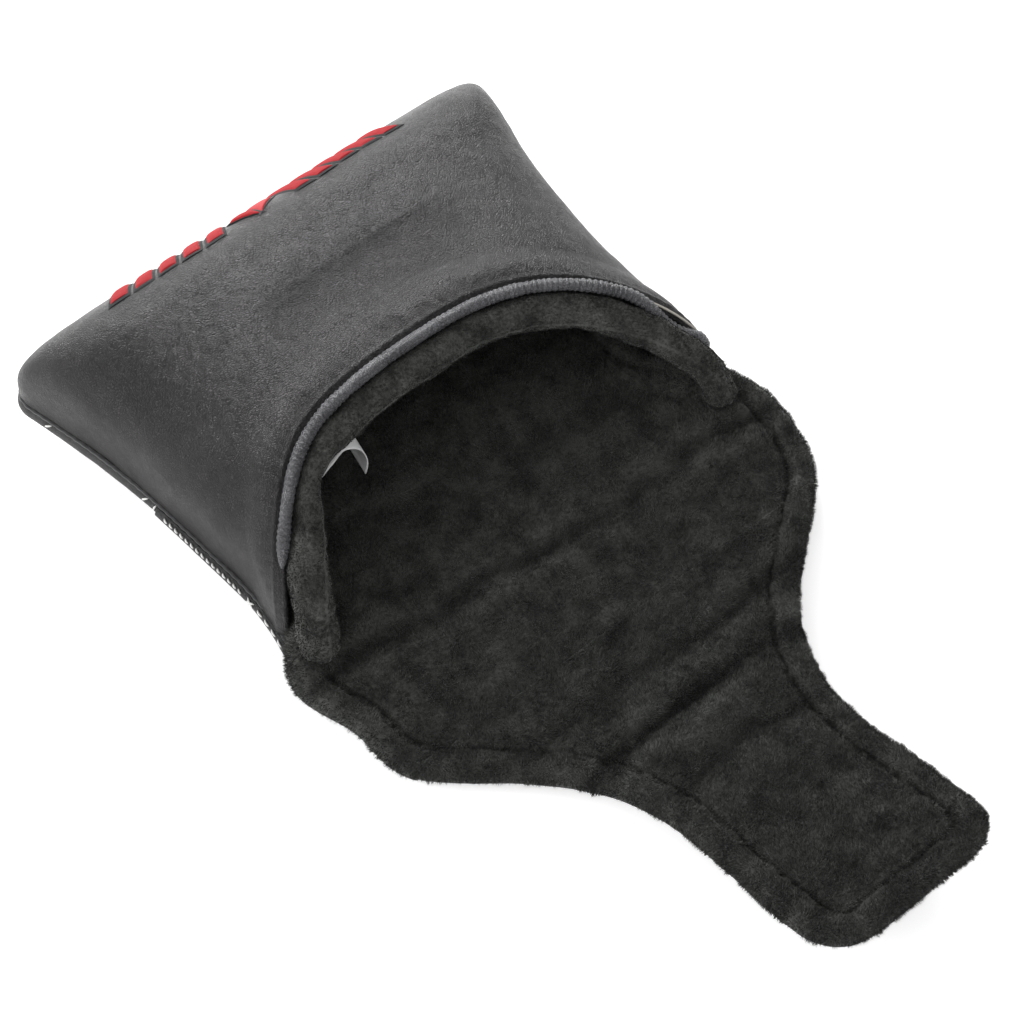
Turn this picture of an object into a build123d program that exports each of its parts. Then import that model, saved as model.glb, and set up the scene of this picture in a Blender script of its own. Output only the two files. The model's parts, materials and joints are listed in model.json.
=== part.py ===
from build123d import *
import math
import os

# Mallet putter head cover: a padded, fleece-lined leather pouch with a folding flap and tongue.
# Frame: +Z up, the sole rests on z = 0, +Y runs from the mouth to the closed end, X is across.
# The origin is on the resting plane, midway between the two mouth corners.

# Driving dimensions, in millimetres.
mouth_width = 132.0  # across the mouth, seam to seam
end_width = 146.0  # across the closed end
waist = 6.4  # how far each side draws in half way along
depth = 102.0  # mouth corners to closed end
mouth_seam = 7.0  # height of the side seam at the mouth
end_seam = 9.0  # height of the side seam at the closed end
mouth_crown = 37.0  # height of the top above the seam at the mouth
end_crown = 34.0  # height of the top above the seam at the closed end
mouth_power = 2.6  # superellipse power of the section: rounder at the mouth
end_power = 3.9  # and boxier at the closed end
end_round = 24.0  # how far forward the closed end starts to round down
plan_corner = 8.0  # corner radius of the closed end, seen from above
sole_round = 8.0  # radius where the sole turns up to the side seam
arch_setback = 33.7  # how far back the mouth's arch is cut at the middle
arch_power = 2.6

leather = 1.2  # thickness of the outer leather
foam = 2.2  # thickness of the padding
fleece = 3.4  # thickness of the lining and its pile
clear = 0.06  # air left between neighbouring layers

flap_fold_at = 14.0  # distance from the mouth corners to the first fold
tongue_fold_at = 66.0  # and to the second fold
flap_length = 142.0  # and to the tongue's tip
flap_curl = 15.5  # rise of the tip per 100 mm squared of length past the flat part
flat_length = 30.0  # the part of the flap that lies flat
tip_corner = 11.0
border_width = 6.0  # padded roll along the flap's edge
border_rise = 1.3  # how far the roll stands above the lining
channel_width = 1.2  # sewn channel between roll and lining

roll_radius = 4.4  # fleece roll inside the arch
roll_core_radius = 2.8
piping_radius = 1.6  # leather piping on the edge of the arch
cord_radius = 0.8
magnet_radius = 8.0
magnet_thick = 1.1
magnet_apart = 14.0  # each magnet's distance from the middle
tongue_magnets_at = 122.0  # distance from the mouth corners, along the flap
top_magnets_at = 68.0  # where they meet the top when the tongue is closed
sole_joint = 53.0  # the sole's two leather panels meet here
thread = 0.6
white_pitch = 4.2  # spacing of the contrast stitches
dark_pitch = 6.0  # spacing of the stitches in the sewn channel
label_width = 11.0
label_thick = 0.4
label_loop = 5.2  # radius of the care label's loop
label_place = (-28.5, 27.0, 25.6)  # middle of that loop
emblem_angle = 57.0  # how far the emblem faces up from level
emblem_rise = 0.8  # how far the embroidery stands proud

# Values that follow from them.
foam_inset = leather + clear
fleece_inset = foam_inset + foam + clear
wall = fleece_inset + fleece
border_top = wall + border_rise
seam_gap = thread + 0.2  # the seam's thread lies in this gap
reach = 200.0  # longer than anything it cuts

# Half-widths of the flap at distances from the mouth corners.
flap_outline = [
    (-30.0, 63.0),
    (0.0, 66.0),
    (19.0, 69.8),
    (38.0, 66.8),
    (57.0, 44.5),
    (76.0, 28.8),
    (109.0, 26.5),
    (flap_length, 25.5),
]


def closed_face(*edges):
    return Face(Wire(edges))


# ---------------------------------------------------------------- pouch form


def half_width(y):
    t = y / depth
    return mouth_width / 2 + (end_width - mouth_width) / 2 * t - waist * math.sin(math.pi * t)


def seam_height(y):
    return mouth_seam + (end_seam - mouth_seam) * y / depth


def crown(y):
    t = min(1.0, y / (depth - end_round))
    return mouth_crown + (end_crown - mouth_crown) * t


def section_power(y):
    return mouth_power + (end_power - mouth_power) * y / depth


def arc_fall(y, start, radius):
    """How a quarter round that starts at `start` falls from 1 to 0 over `radius`."""
    t = min(1.0, max(0.0, (y - start) / radius))
    return math.sqrt(1.0 - t * t)


def section_sizes(y, inset):
    """Half-width, widest height, rise above it and drop below it, `inset` inside the surface."""
    corner = max(1.0, plan_corner - inset)
    width = half_width(y) - inset
    width -= corner * (1.0 - arc_fall(y, depth - inset - corner, corner))
    level = seam_height(y) + inset / 2
    rise = seam_height(y) + crown(y) - inset - level
    rise *= arc_fall(y, depth - end_round, end_round - inset)
    turn = max(1.0, sole_round - inset)
    drop = (level - inset) * arc_fall(y, depth - inset - turn, turn)
    return width, level, rise, drop


def top_height(x, y, inset):
    """Height of the pouch's top surface over a point."""
    width, level, rise, _ = section_sizes(y, inset)
    n = section_power(y)
    return level + rise * max(0.0, 1.0 - abs(x / width) ** n) ** (1.0 / n)


def pouch_section(y, inset):
    width, level, rise, drop = section_sizes(y, inset)
    n = section_power(y)
    steps = 12
    crest = []
    for i in range(steps + 1):
        a = math.pi * i / steps
        c, s = math.cos(a), math.sin(a)
        across = math.copysign(abs(c) ** (2.0 / n), c)
        crest.append((width * across, y, level + rise * abs(s) ** (2.0 / n)))
    turn = min(width / 3, sole_round)
    floor = level - drop
    right = Bezier((width - turn, y, floor), (width, y, floor), (width, y, level))
    left = Bezier((-width, y, level), (-width, y, floor), (turn - width, y, floor))
    under = Line((turn - width, y, floor), (width - turn, y, floor))
    return closed_face(Spline(*crest), left, under, right)


def pouch_form(inset):
    """The pouch's whole closed shape, `inset` inside its outer surface."""
    straight = depth - end_round
    stations = [straight * i / 6 for i in range(7)]
    for angle in (22, 40, 56, 70, 80, 86):
        stations.append(straight + (end_round - inset) * math.sin(math.radians(angle)))
    return loft([pouch_section(y, inset) for y in stations], ruled=True)


def shell(outer, inner):
    return pouch_form(outer) - pouch_form(inner)


def slab(low, high):
    """Everything between two heights measured from the sloping seam plane."""
    front, back = -reach, reach
    corners = [
        (front, seam_height(front) + low),
        (back, seam_height(back) + low),
        (back, seam_height(back) + high),
        (front, seam_height(front) + high),
    ]
    face = closed_face(*Polyline(*[(0, y, z) for y, z in corners], close=True).edges())
    return extrude(face, amount=reach, dir=(1, 0, 0), both=True)


# ---------------------------------------------------------------- mouth


def arch_curve(x):
    """How far back the arch's edge stands, seen from above."""
    return arch_setback * max(0.0, 1.0 - abs(2 * x / mouth_width) ** arch_power)


def behind_arch(back):
    """Everything behind the arch's edge moved `back` towards the closed end."""
    steps = 16
    edge = []
    for i in range(steps + 1):
        x = mouth_width / 2 * (2 * i / steps - 1)
        edge.append((x, arch_curve(x) + back))
    around = [edge[-1], (reach, back), (reach, reach), (-reach, reach), (-reach, back), edge[0]]
    outline = closed_face(Spline(*edge), *Polyline(*around).edges())
    return extrude(outline, amount=reach, dir=(0, 0, 1), both=True)


def surface_point(angle, y):
    """A point of the top's outer surface: 0 degrees is the right seam, 180 the left one."""
    width, level, rise, _ = section_sizes(y, 0)
    n = section_power(y)
    c, s = math.cos(math.radians(angle)), math.sin(math.radians(angle))
    return Vector(width * math.copysign(abs(c) ** (2 / n), c), y, level + rise * abs(s) ** (2 / n))


def arch_point(angle):
    y = 0.0
    for _ in range(20):
        y = arch_curve(surface_point(angle, y).X)
    return surface_point(angle, y)


def arch_path(forward, below, start):
    """A line along the arch, `forward` out of its edge and `below` the outer surface."""
    points = []
    steps = 16
    for i in range(steps + 1):
        angle = start + (180 - 2 * start) * i / steps
        edge = arch_point(angle)
        along = arch_point(angle + 1) - arch_point(angle - 1)
        back = surface_point(angle, edge.Y + 1) - edge
        outward = back.cross(along).normalized()
        ahead = outward.cross(along).normalized()
        points.append(edge + ahead * forward - outward * below)
    return Spline(*points)


def rod(path, radius):
    return sweep(Plane(origin=path @ 0, z_dir=path % 0) * Circle(radius), path=path)


def mouth_piping():
    path = arch_path(piping_radius + 0.3, piping_radius - 1.1, 3)
    tube = rod(path, piping_radius) - rod(path, cord_radius + clear)
    return tube & above_seam, rod(path, cord_radius) & above_seam


def collar_path():
    return arch_path(piping_radius + 1.6, roll_radius + piping_radius + 0.6, 2)


def collar():
    """The fleece roll inside the arch, and its foam core. It stands on the corner rolls."""
    path = collar_path()
    above = Pos(0, 0, border_top + clear + reach / 2) * Box(reach, reach, reach)
    cover = rod(path, roll_radius) - rod(path, roll_core_radius + clear)
    return cover & above, rod(path, roll_core_radius) & above


# ---------------------------------------------------------------- flap form


def curl(s):
    """How far the flap has risen at a distance from the mouth corners."""
    return flap_curl * (max(0.0, s - flat_length) / 100.0) ** 2


def flap_side(inset):
    """The flap's right-hand edge seen from above, `inset` inside it."""
    edge = Spline(*[(w, -s) for s, w in flap_outline])
    steps = 18
    points = []
    for i in range(steps + 1):
        along = (1 - inset / edge.length) * i / steps
        tangent = edge.tangent_at(along)
        points.append(edge.position_at(along) + Vector(tangent.Y, -tangent.X) * inset)
    return points


def flap_face(inset):
    """The flap seen from above, `inset` inside its edge."""
    right = flap_side(inset)
    left = [Vector(-p.X, p.Y) for p in reversed(right)]
    whole = closed_face(Spline(*right), Line(right[-1], left[0]), Spline(*left), Line(left[-1], right[0]))
    return fillet(whole.vertices().sort_by(Axis.Y)[:2], tip_corner - inset)


def flap_prism(inset):
    return extrude(flap_face(inset), amount=reach, dir=(0, 0, 1), both=True)


def flap_layer(low, high, start, stop):
    """A layer of the flap between two heights, from one distance to another."""
    steps = 12
    ends = [start + (stop - start) * i / steps for i in range(steps + 1)]
    lower = [(0, -s, low + curl(s)) for s in ends]
    upper = [(0, -s, high + curl(s)) for s in reversed(ends)]
    side = closed_face(Spline(*lower), Line(lower[-1], upper[0]), Spline(*upper), Line(upper[-1], lower[0]))
    return extrude(side, amount=reach, dir=(1, 0, 0), both=True)


def flap_piece(low, high, start, stop, inset=0.0):
    return flap_layer(low, high, start, stop) & flap_prism(inset)


def border(start, stop):
    """The padded roll along the flap's edge."""
    return flap_layer(fleece_inset, border_top, start, stop) & (flap_prism(0.0) - flap_prism(border_width))


def lining(start, stop):
    return flap_piece(fleece_inset, wall, start, stop, border_width + channel_width)


def stitch(at, along, up, length):
    return Plane(origin=at, x_dir=along, z_dir=up) * Box(length, thread, thread)


def channel_stitching(start, stop):
    """Stitches along the bottom of the sewn channel."""
    length = 0.6 * dark_pitch
    path = flap_face(border_width + channel_width / 2).face().outer_wire()
    count = int(path.length / dark_pitch)
    stitches = []
    for i in range(count):
        at, along = path.position_at(i / count), path.tangent_at(i / count)
        s = -at.Y
        if start + length < s < stop - length / 2:
            lift = fleece_inset + 2 * thread + curl(s)
            stitches.append(stitch((at.X, at.Y, lift), along, (0, 0, 1), length))
    return Compound(children=stitches)


# ---------------------------------------------------------------- pouch pieces

above_seam = slab(seam_gap / 2, reach)
below_seam = slab(-reach, -seam_gap / 2)
apron_end = flap_fold_at - clear  # the sole runs past the mouth corners up to the first fold
apron_start = 0.0


def sole_panels():
    """The outer leather of the sole: a front panel with the apron, and a rear panel."""
    tray = shell(0, leather) & below_seam
    behind = Pos(0, sole_joint + clear + reach / 2, 0) * Box(reach, reach, reach)
    ahead = Pos(0, sole_joint - reach / 2, 0) * Box(reach, reach, reach)
    front = (tray & ahead) + flap_piece(0, leather, apron_start, apron_end)
    return front - sole_grooves(), (tray & behind) - sole_grooves()


def sole_rows():
    """The two rows of stitches beside the sole's joint."""
    return sole_joint - 3.0, sole_joint + 3.0


def sole_grooves():
    """Shallow grooves that keep the sole's stitches off the ground."""
    long = 2 * (half_width(sole_joint) - sole_round)
    groove = Box(long, 2 * thread, 2 * (thread + 0.15))
    front, rear = sole_rows()
    return Pos(0, front, 0) * groove + Pos(0, rear, 0) * groove


def sole_stitching():
    """Contrast stitches across the sole's joint and along both sides of its front panel."""
    length = 0.6 * white_pitch
    stitches = []
    across = int((half_width(sole_joint) - sole_round - length) / white_pitch)
    for y in sole_rows():
        for i in range(-across, across + 1):
            at = (i * white_pitch, y, thread / 2 + 0.1)
            stitches.append(stitch(at, (1, 0, 0), (0, 0, 1), length))
    for i in range(1, int(sole_joint / white_pitch)):
        y = i * white_pitch
        width, level, _, _ = section_sizes(y, 0)
        slope = (half_width(y + 1) - half_width(y - 1)) / 2
        x = width + thread / 2 + 0.15
        for side in (-1, 1):
            stitches.append(stitch((side * x, y, 0.72 * level), (side * slope, 1, 0), (side, 0, 0), length))
    return Compound(children=stitches)


def side_seam_thread():
    return shell(0.3, 0.3 + thread) & slab(-thread / 2, thread / 2) & behind_arch(2)


def sole_foam():
    tray = shell(foam_inset, foam_inset + foam) & below_seam
    return tray + flap_piece(foam_inset, foam_inset + foam, apron_start, apron_end, foam_inset)


def floor_lining():
    tray = shell(fleece_inset, wall) & below_seam
    return tray + flap_piece(fleece_inset, wall, apron_start, apron_end, border_width + channel_width)


def top_lining():
    return (shell(fleece_inset, wall) & above_seam & behind_arch(0)) - rod(collar_path(), roll_radius + clear)


def top_foam():
    layer = shell(foam_inset, foam_inset + foam) & above_seam & behind_arch(0)
    return layer - top_pocket_place() * pocket_space() - emblem_block(emblem_size, foam_inset + 0.5)


# ---------------------------------------------------------------- magnets

pocket_size = (2 * (magnet_apart + magnet_radius) + 5, 2 * magnet_radius + 5)
pocket_height = foam - 0.8


def pocket_space():
    return Box(pocket_size[0] + 0.2, pocket_size[1] + 0.2, 3 * foam)


def magnets():
    disc = Cylinder(magnet_radius, magnet_thick)
    lift = (pocket_height - magnet_thick) / 2 - 0.05
    return Compound(children=[Pos(side * magnet_apart, 0, lift) * disc for side in (-1, 1)])


def magnet_pocket():
    """A stiff patch with a round seat for each magnet."""
    patch = Box(*pocket_size, pocket_height)
    seat = Cylinder(magnet_radius + 0.1, pocket_height)
    for side in (-1, 1):
        patch -= Pos(side * magnet_apart, 0, pocket_height - magnet_thick - 0.1) * seat
    return patch


def top_pocket_place():
    """Under the top leather, where the closed tongue lies."""
    y = top_magnets_at
    fall = top_height(0, y + 1, 0) - top_height(0, y - 1, 0)
    middle = top_height(0, y, 0) - foam_inset - foam / 2 - 0.1
    return Plane(origin=(0, y, middle), x_dir=(1, 0, 0), z_dir=(0, -fall / 2, 1))


def tongue_pocket_place():
    """Between the tongue's leather and its lining."""
    s = tongue_magnets_at
    rise = (curl(s + 1) - curl(s - 1)) / 2
    return Plane(origin=(0, -s, foam_inset + foam / 2 + curl(s)), x_dir=(1, 0, 0), z_dir=(0, rise, 1))


# ---------------------------------------------------------------- emblem and label

emblem_size = (88.0, 17.0)
emblem_shift = -4.0  # the emblem's middle, from the cover's middle
bar_half_width = 2.6


def emblem_plane():
    lean = math.radians(emblem_angle)
    middle = (emblem_shift, depth - end_round, end_seam)
    return Plane(origin=middle, x_dir=(-1, 0, 0), z_dir=(0, math.cos(lean), math.sin(lean)))


def emblem_block(size, inset):
    """The part of the closed end's crest under the emblem, down to `inset`."""
    block = extrude(emblem_plane() * Rectangle(*size), amount=reach)
    return block - pouch_form(inset)


def emblem_shapes():
    """A plain row of slanted bars, slightly shorter away from a diamond in the middle."""
    lean = 2.2
    pitch = 6.9
    shapes = [Polygon((-6.5, 0), (0, -7), (6.5, 0), (0, 7), align=None)]
    for i in range(1, 6):
        high = 6.2 - 0.25 * i
        for side in (-1, 1):
            x = side * (4.1 + pitch * i)
            shift = side * lean
            low, top = x - shift, x + shift
            bar = [(low - bar_half_width, -high), (low + bar_half_width, -high)]
            bar += [(top + bar_half_width, high), (top - bar_half_width, high)]
            shapes.append(Polygon(*bar, align=None))
    return shapes


def emblem():
    """Raised embroidery: the fill of each shape, and the outline round it."""
    rim = 0.8
    layer = pouch_form(-emblem_rise) - pouch_form(-clear)
    fills, outlines = [], []
    for shape in emblem_shapes():
        inner = extrude(emblem_plane() * shape, amount=reach)
        gap = extrude(emblem_plane() * offset(shape, amount=clear, kind=Kind.INTERSECTION), amount=reach)
        outer = extrude(emblem_plane() * offset(shape, amount=rim, kind=Kind.INTERSECTION), amount=reach)
        fills.append(layer & inner)
        outlines.append((layer & outer) - gap)
    return Compound(children=fills), Compound(children=outlines)


def emblem_backing():
    """Stiff cloth behind the embroidery, between the leather and the padding."""
    size = (emblem_size[0] - 0.4, emblem_size[1] - 0.4)
    return emblem_block(size, foam_inset + 0.4) & pouch_form(foam_inset)


def care_label():
    """A plain folded ribbon that hangs in the mouth, under the left of the arch."""
    ring = Circle(label_loop) - Circle(label_loop - label_thick)
    ring = ring & Pos(0, label_loop * 0.6, 0) * Rectangle(3 * label_loop, 3 * label_loop)
    place = Plane(origin=label_place, x_dir=(1, 0, 0), z_dir=(0, -1, 0))
    return extrude(place * ring, amount=label_width / 2, both=True)



# ---------------------------------------------------------------- flap and tongue pieces


def flap_pieces():
    start, stop = flap_fold_at + clear, tongue_fold_at - clear
    return {
        "flap_leather": flap_piece(0, leather, start, stop),
        "flap_foam": flap_piece(foam_inset, foam_inset + foam, start, stop, foam_inset),
        "flap_lining": lining(start, stop),
        "flap_border_roll": border(start, stop),
        "flap_channel_stitching": channel_stitching(start, stop),
    }


def tongue_pieces():
    start, stop = tongue_fold_at + clear, flap_length
    padding = flap_piece(foam_inset, foam_inset + foam, start, stop, foam_inset)
    return {
        "tongue_leather": flap_piece(0, leather, start, stop),
        "tongue_foam": padding - tongue_pocket_place() * pocket_space(),
        "tongue_lining": lining(start, stop),
        "tongue_border_roll": border(start, stop),
        "tongue_channel_stitching": channel_stitching(start, stop),
        "tongue_magnets": tongue_pocket_place() * magnets(),
        "tongue_magnet_pocket": tongue_pocket_place() * magnet_pocket(),
    }


def pouch_pieces():
    front, rear = sole_panels()
    piping, cord = mouth_piping()
    cover, core = collar()
    fill, outline = emblem()
    return {
        "top_leather": shell(0, leather) & above_seam & behind_arch(0),
        "sole_front_leather": front,
        "sole_rear_leather": rear,
        "side_seam_thread": side_seam_thread(),
        "sole_stitching": sole_stitching(),
        "top_foam": top_foam(),
        "sole_foam": sole_foam(),
        "top_lining": top_lining(),
        "floor_lining": floor_lining(),
        "corner_rolls": border(0.5, apron_end),
        "mouth_piping": piping,
        "piping_cord": cord,
        "collar_roll": cover,
        "collar_core": core,
        "emblem_fill": fill,
        "emblem_outline": outline,
        "emblem_backing": emblem_backing(),
        "care_label": care_label(),
        "top_magnets": top_pocket_place() * magnets(),
        "top_magnet_pocket": top_pocket_place() * magnet_pocket(),
    }


# ---------------------------------------------------------------- write the pieces

os.makedirs("parts", exist_ok=True)
for pieces in (pouch_pieces(), flap_pieces(), tongue_pieces()):
    for name, shape in pieces.items():
        export_step(shape, f"parts/{name}.step")
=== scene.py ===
import json
import math

import bmesh
import bpy
import numpy as np
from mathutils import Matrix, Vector


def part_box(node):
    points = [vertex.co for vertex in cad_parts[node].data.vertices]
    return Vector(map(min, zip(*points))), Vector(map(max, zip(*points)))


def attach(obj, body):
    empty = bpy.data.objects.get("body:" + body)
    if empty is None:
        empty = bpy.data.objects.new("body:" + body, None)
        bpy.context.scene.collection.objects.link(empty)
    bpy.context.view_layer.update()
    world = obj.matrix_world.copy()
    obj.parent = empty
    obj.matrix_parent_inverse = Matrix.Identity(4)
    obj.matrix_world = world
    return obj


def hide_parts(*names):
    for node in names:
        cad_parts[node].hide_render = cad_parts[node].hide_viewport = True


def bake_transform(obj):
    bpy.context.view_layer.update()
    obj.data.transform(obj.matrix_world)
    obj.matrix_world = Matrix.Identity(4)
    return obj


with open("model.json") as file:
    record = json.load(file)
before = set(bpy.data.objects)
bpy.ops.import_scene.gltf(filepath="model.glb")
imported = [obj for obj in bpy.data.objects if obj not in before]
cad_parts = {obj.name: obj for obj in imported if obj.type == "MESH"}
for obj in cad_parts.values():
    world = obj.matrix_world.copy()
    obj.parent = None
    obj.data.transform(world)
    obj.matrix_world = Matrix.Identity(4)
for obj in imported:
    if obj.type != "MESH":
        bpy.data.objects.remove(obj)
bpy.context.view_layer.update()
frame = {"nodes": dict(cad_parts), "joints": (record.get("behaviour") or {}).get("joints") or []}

# Looks of the putter head cover. Shapes are worked out in millimetres and written to Blender in metres.
MM = 0.001


def node_box(name):
    """A CAD node's lowest and highest corners in millimetres."""
    low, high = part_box(name)
    return np.array(low) / MM, np.array(high) / MM


# ---------------------------------------------------------------- sizes, from the frame

top_high = node_box("top_leather")[1]
seam_low, seam_high = node_box("side_seam_thread")
fold_joint = next(j for j in frame["joints"] if j["name"] == "flap_fold")
tongue_joint = next(j for j in frame["joints"] if j["name"] == "tongue_fold")

depth = top_high[1]  # mouth corners to closed end
end_half = top_high[0] + 1.5  # half the width of the closed end, before its corners are rounded
mouth_half = end_half * 0.904
waist = end_half * 0.0877  # how far each side draws in half way along
mouth_seam = seam_low[2]
end_seam = seam_high[2] - 0.3
mouth_crown = top_high[2] - mouth_seam  # the dome is highest at the middle of the arch
end_crown = mouth_crown - 3.0
end_round = depth * 0.235
plan_corner = 8.5
sole_round = 8.0  # the sole turns up round the closed end over this length
wall_power = 0.75
arch_setback = depth * 0.331
arch_power = 2.6
mouth_power = 2.6
end_power = 3.9
leather = 1.2
fold_at = -fold_joint["pos_m"][1] / MM
tongue_fold_at = -tongue_joint["pos_m"][1] / MM
flap_length = -node_box("tongue_leather")[0][1] - 2.0
flap_half = node_box("flap_leather")[1][0]
lining_top = 6.9
border_top = node_box("corner_rolls")[1][2]
border_width = 6.0
tip_corner = 11.0
flat_length = 30.0
tip_rise = 15.5  # rise of the flap per 100 mm squared past its flat part
split_at = (fold_at + tongue_fold_at) / 2  # the fabric is cut here, between the two folds
roll_radius = 4.2

# Half-widths of the flap at distances from the mouth corners.
outline_at = np.array([-60.0, -30.0, -14.0, -5.0, 3.0, 14.0, 25.0, 38.0, 57.0, 76.0, 109.0, flap_length])
outline_half = np.array([57.0, 56.5, 58.0, 62.5, 68.0, 70.2, 68.4, 63.6, 43.0, 28.4, 25.0, 25.0])
outline_half *= flap_half / 69.97


# ---------------------------------------------------------------- numbers


def smooth(t):
    t = np.clip(t, 0.0, 1.0)
    return t * t * (3 - 2 * t)


def bump(t, width):
    return np.exp(-((t / width) ** 2))


lattice_size = 32
LATTICES = {}  # one random lattice for each seed


def noise(points, size, seed):
    """Smooth noise from -1 to 1 whose features are about `size` millimetres across."""
    if seed not in LATTICES:
        LATTICES[seed] = np.random.default_rng(seed).random((lattice_size,) * 3)
    grid = LATTICES[seed]
    p = points / size
    base = np.floor(p).astype(int)
    f = p - base
    f = f * f * (3 - 2 * f)
    total = np.zeros(points.shape[:-1])
    for dx in (0, 1):
        for dy in (0, 1):
            for dz in (0, 1):
                w = (f[..., 0] if dx else 1 - f[..., 0]) * (f[..., 1] if dy else 1 - f[..., 1])
                w = w * (f[..., 2] if dz else 1 - f[..., 2])
                i = (base + (dx, dy, dz)) % lattice_size
                total += w * grid[i[..., 0], i[..., 1], i[..., 2]]
    return 2 * total - 1


def layered_noise(points, size, seed):
    coarse, middle, fine = (noise(points, size / part, seed + k) for k, part in enumerate((1, 2.1, 4.3)))
    return coarse + 0.5 * middle + 0.25 * fine


def cubic_through(at, values):
    """A natural cubic curve through a few points, as a function."""
    n = len(at)
    h = np.diff(at)
    a = np.eye(n)
    r = np.zeros(n)
    for i in range(1, n - 1):
        a[i, i - 1 : i + 2] = h[i - 1], 2 * (h[i - 1] + h[i]), h[i]
        r[i] = 6 * ((values[i + 1] - values[i]) / h[i] - (values[i] - values[i - 1]) / h[i - 1])
    m = np.linalg.solve(a, r)

    def curve(s):
        s = np.clip(s, at[0], at[-1])
        i = np.clip(np.searchsorted(at, s) - 1, 0, n - 2)
        u, v = at[i + 1] - s, s - at[i]
        cubic = (m[i] * u**3 + m[i + 1] * v**3) / (6 * h[i])
        before = (values[i] / h[i] - m[i] * h[i] / 6) * u
        after = (values[i + 1] / h[i] - m[i + 1] * h[i] / 6) * v
        return cubic + before + after

    return curve


# ---------------------------------------------------------------- meshes


def new_object(name, points, faces, material, shade_smooth=True):
    """A mesh object from points in millimetres."""
    mesh = bpy.data.meshes.new(name)
    points = np.asarray(points, float).reshape(-1, 3) * MM
    mesh.from_pydata(points.tolist(), [], [tuple(f) for f in faces])
    mesh.update()
    if shade_smooth:
        mesh.shade_smooth()
    mesh.materials.append(material)
    obj = bpy.data.objects.new(name, mesh)
    bpy.context.scene.collection.objects.link(obj)
    return obj


def grid_faces(rows, columns, start=0, flip=False, wrap=False):
    """Quads of a grid of points; `wrap` joins the last column to the first."""
    faces = []
    for i in range(rows - 1):
        for j in range(columns if wrap else columns - 1):
            k = (j + 1) % columns
            this, following = start + i * columns, start + (i + 1) * columns
            quad = (this + j, this + k, following + k, following + j)
            faces.append(quad[::-1] if flip else quad)
    return faces


def shell(outer, inner, start=0):
    """Points and faces of a closed solid between two grids of points of the same shape."""
    rows, columns = outer.shape[:2]
    count = rows * columns
    faces = grid_faces(rows, columns, start)
    faces += grid_faces(rows, columns, start + count, flip=True)
    ring = [(0, j) for j in range(columns)]
    ring += [(i, columns - 1) for i in range(1, rows)]
    ring += [(rows - 1, j) for j in range(columns - 2, -1, -1)]
    ring += [(i, 0) for i in range(rows - 2, 0, -1)]
    ring = [start + i * columns + j for i, j in ring]
    faces += [(b, a, count + a, count + b) for a, b in zip(ring, ring[1:] + ring[:1])]
    return np.concatenate([outer.reshape(-1, 3), inner.reshape(-1, 3)]), faces


def sheet(name, outer, inner, material):
    return new_object(name, *shell(outer, inner), material)


def grid_normals(points):
    along = np.gradient(points, axis=0)
    across = np.gradient(points, axis=1)
    n = np.cross(across, along)
    return n / np.maximum(np.linalg.norm(n, axis=-1, keepdims=True), 1e-9)


def tube(path, radii, sides, toward):
    """Points and faces of a closed rod along a line; its first side faces `toward`, or level if None."""
    n = len(path)
    tangent = np.gradient(path, axis=0)
    tangent /= np.linalg.norm(tangent, axis=1, keepdims=True)
    side = np.cross(tangent, (0.0, 0.0, 1.0)) if toward is None else np.array(toward)
    side /= np.linalg.norm(side, axis=1, keepdims=True)
    other = np.cross(tangent, side)
    turn = np.linspace(0, 2 * math.pi, sides, endpoint=False)[None, :, None]
    ring = np.cos(turn) * side[:, None, :] + np.sin(turn) * other[:, None, :]
    points = path[:, None, :] + ring * np.asarray(radii)[..., None]
    faces = grid_faces(n, sides, wrap=True)
    faces.append(tuple(range(sides))[::-1])
    faces.append(tuple((n - 1) * sides + k for k in range(sides)))
    return points, faces


def flip_outward(obj):
    """Makes a closed mesh's faces look outward."""
    b = bmesh.new()
    b.from_mesh(obj.data)
    bmesh.ops.recalc_face_normals(b, faces=b.faces)
    b.to_mesh(obj.data)
    b.free()
    return obj


# ---------------------------------------------------------------- materials


def nodes_of(name):
    material = bpy.data.materials.new(name)
    material.use_nodes = True
    tree = material.node_tree
    return material, tree, tree.nodes["Principled BSDF"]


def add(tree, kind, **values):
    node = tree.nodes.new(kind)
    for key, value in values.items():
        if key in node.inputs:
            node.inputs[key].default_value = value
        else:
            setattr(node, key, value)
    return node


def set_inputs(node, values):
    for key, value in values.items():
        node.inputs[key].default_value = value


def millimetres(tree, stretch=(1, 1, 1)):
    """Object coordinates in millimetres, optionally stretched."""
    coordinates = add(tree, "ShaderNodeTexCoord")
    mapping = add(tree, "ShaderNodeMapping")
    mapping.inputs["Scale"].default_value = [s / MM for s in stretch]
    tree.links.new(coordinates.outputs["Object"], mapping.inputs["Vector"])
    return mapping.outputs["Vector"]


def texture_noise(tree, vector, scale, detail=3.0, roughness=0.6):
    node = add(tree, "ShaderNodeTexNoise", Scale=scale, Detail=detail, Roughness=roughness)
    tree.links.new(vector, node.inputs["Vector"])
    return node.outputs["Fac"]


def ramp(tree, value, low, high, colors):
    node = add(tree, "ShaderNodeValToRGB")
    node.color_ramp.elements[0].position = low
    node.color_ramp.elements[1].position = high
    for element, color in zip(node.color_ramp.elements, colors):
        element.color = (*color, 1.0) if len(color) == 3 else color
    tree.links.new(value, node.inputs["Fac"])
    return node.outputs["Color"]


def math_node(tree, operation, a, b):
    node = add(tree, "ShaderNodeMath", operation=operation)
    for socket, value in zip(node.inputs, (a, b)):
        if isinstance(value, (int, float)):
            socket.default_value = value
        else:
            tree.links.new(value, socket)
    return node.outputs[0]


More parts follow.
